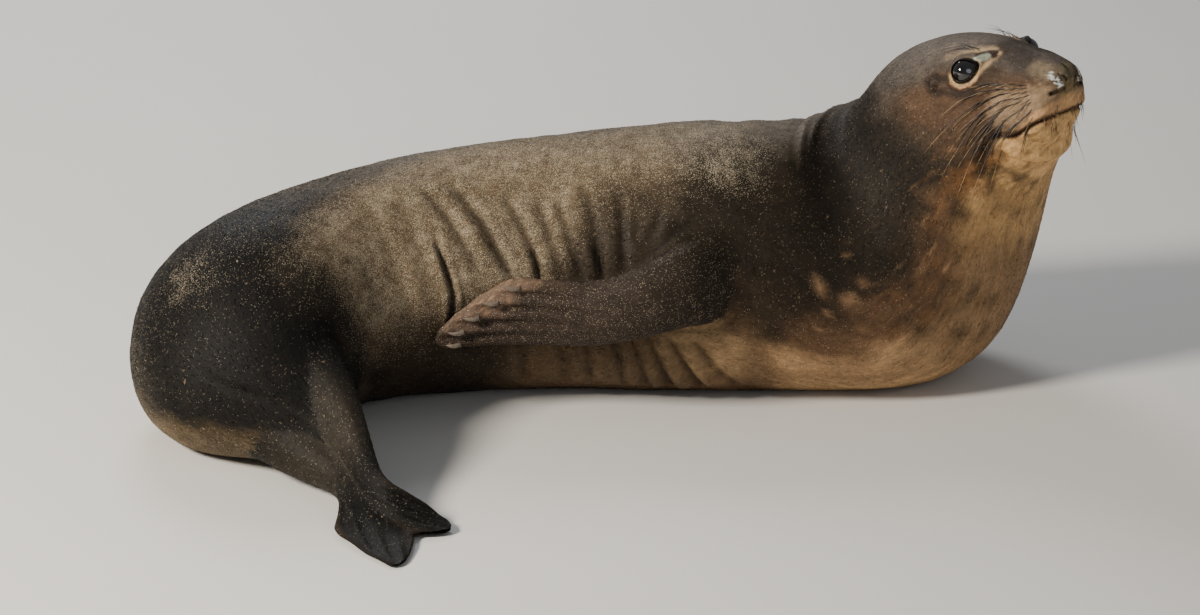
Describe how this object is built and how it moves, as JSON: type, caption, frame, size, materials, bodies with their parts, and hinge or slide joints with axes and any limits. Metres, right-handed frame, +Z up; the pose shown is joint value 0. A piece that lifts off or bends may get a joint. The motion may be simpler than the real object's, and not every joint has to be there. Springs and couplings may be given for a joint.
{
  "type": "elephant seal",
  "caption": "Life-size still model of an adult female elephant seal lying on its side in a curve, with its head raised and its hind flippers drawn forward.",
  "frame": {"origin": "on the floor, under the middle of the model", "axes": "+X from the hips towards the head, -Y towards the belly side that the curve closes round, +Z up"},
  "size_m": [1.9952, 1.5933, 0.7846],
  "materials": {
    "hide": "short flat fur, dark brown on the back, sandy on the flank, tan on the throat and belly",
    "flipper_skin": "dark brown short-haired skin over ridged digits, scarred at the tips",
    "eye": "wet black, high gloss",
    "claw": "dark horn, worn smooth"
  },
  "bodies": {
    "root": {"head": "hide", "lower_jaw": "hide", "neck": "hide", "chest": "hide", "torso": "hide", "loin": "hide", "hips": "hide", "tail": "hide", "hind_limb_left": "hide", "hind_limb_right": "hide", "hind_flipper_left": "flipper_skin", "hind_flipper_right": "flipper_skin", "foreflipper_left": "flipper_skin", "foreflipper_right": "flipper_skin", "eye_left": "eye", "eye_right": "eye", "claw_left_1": "claw", "claw_left_2": "claw", "claw_left_3": "claw", "claw_left_4": "claw", "claw_left_5": "claw", "claw_right_1": "claw", "claw_right_2": "claw", "claw_right_3": "claw", "claw_right_4": "claw", "claw_right_5": "claw"}
  },
  "joints": []
}
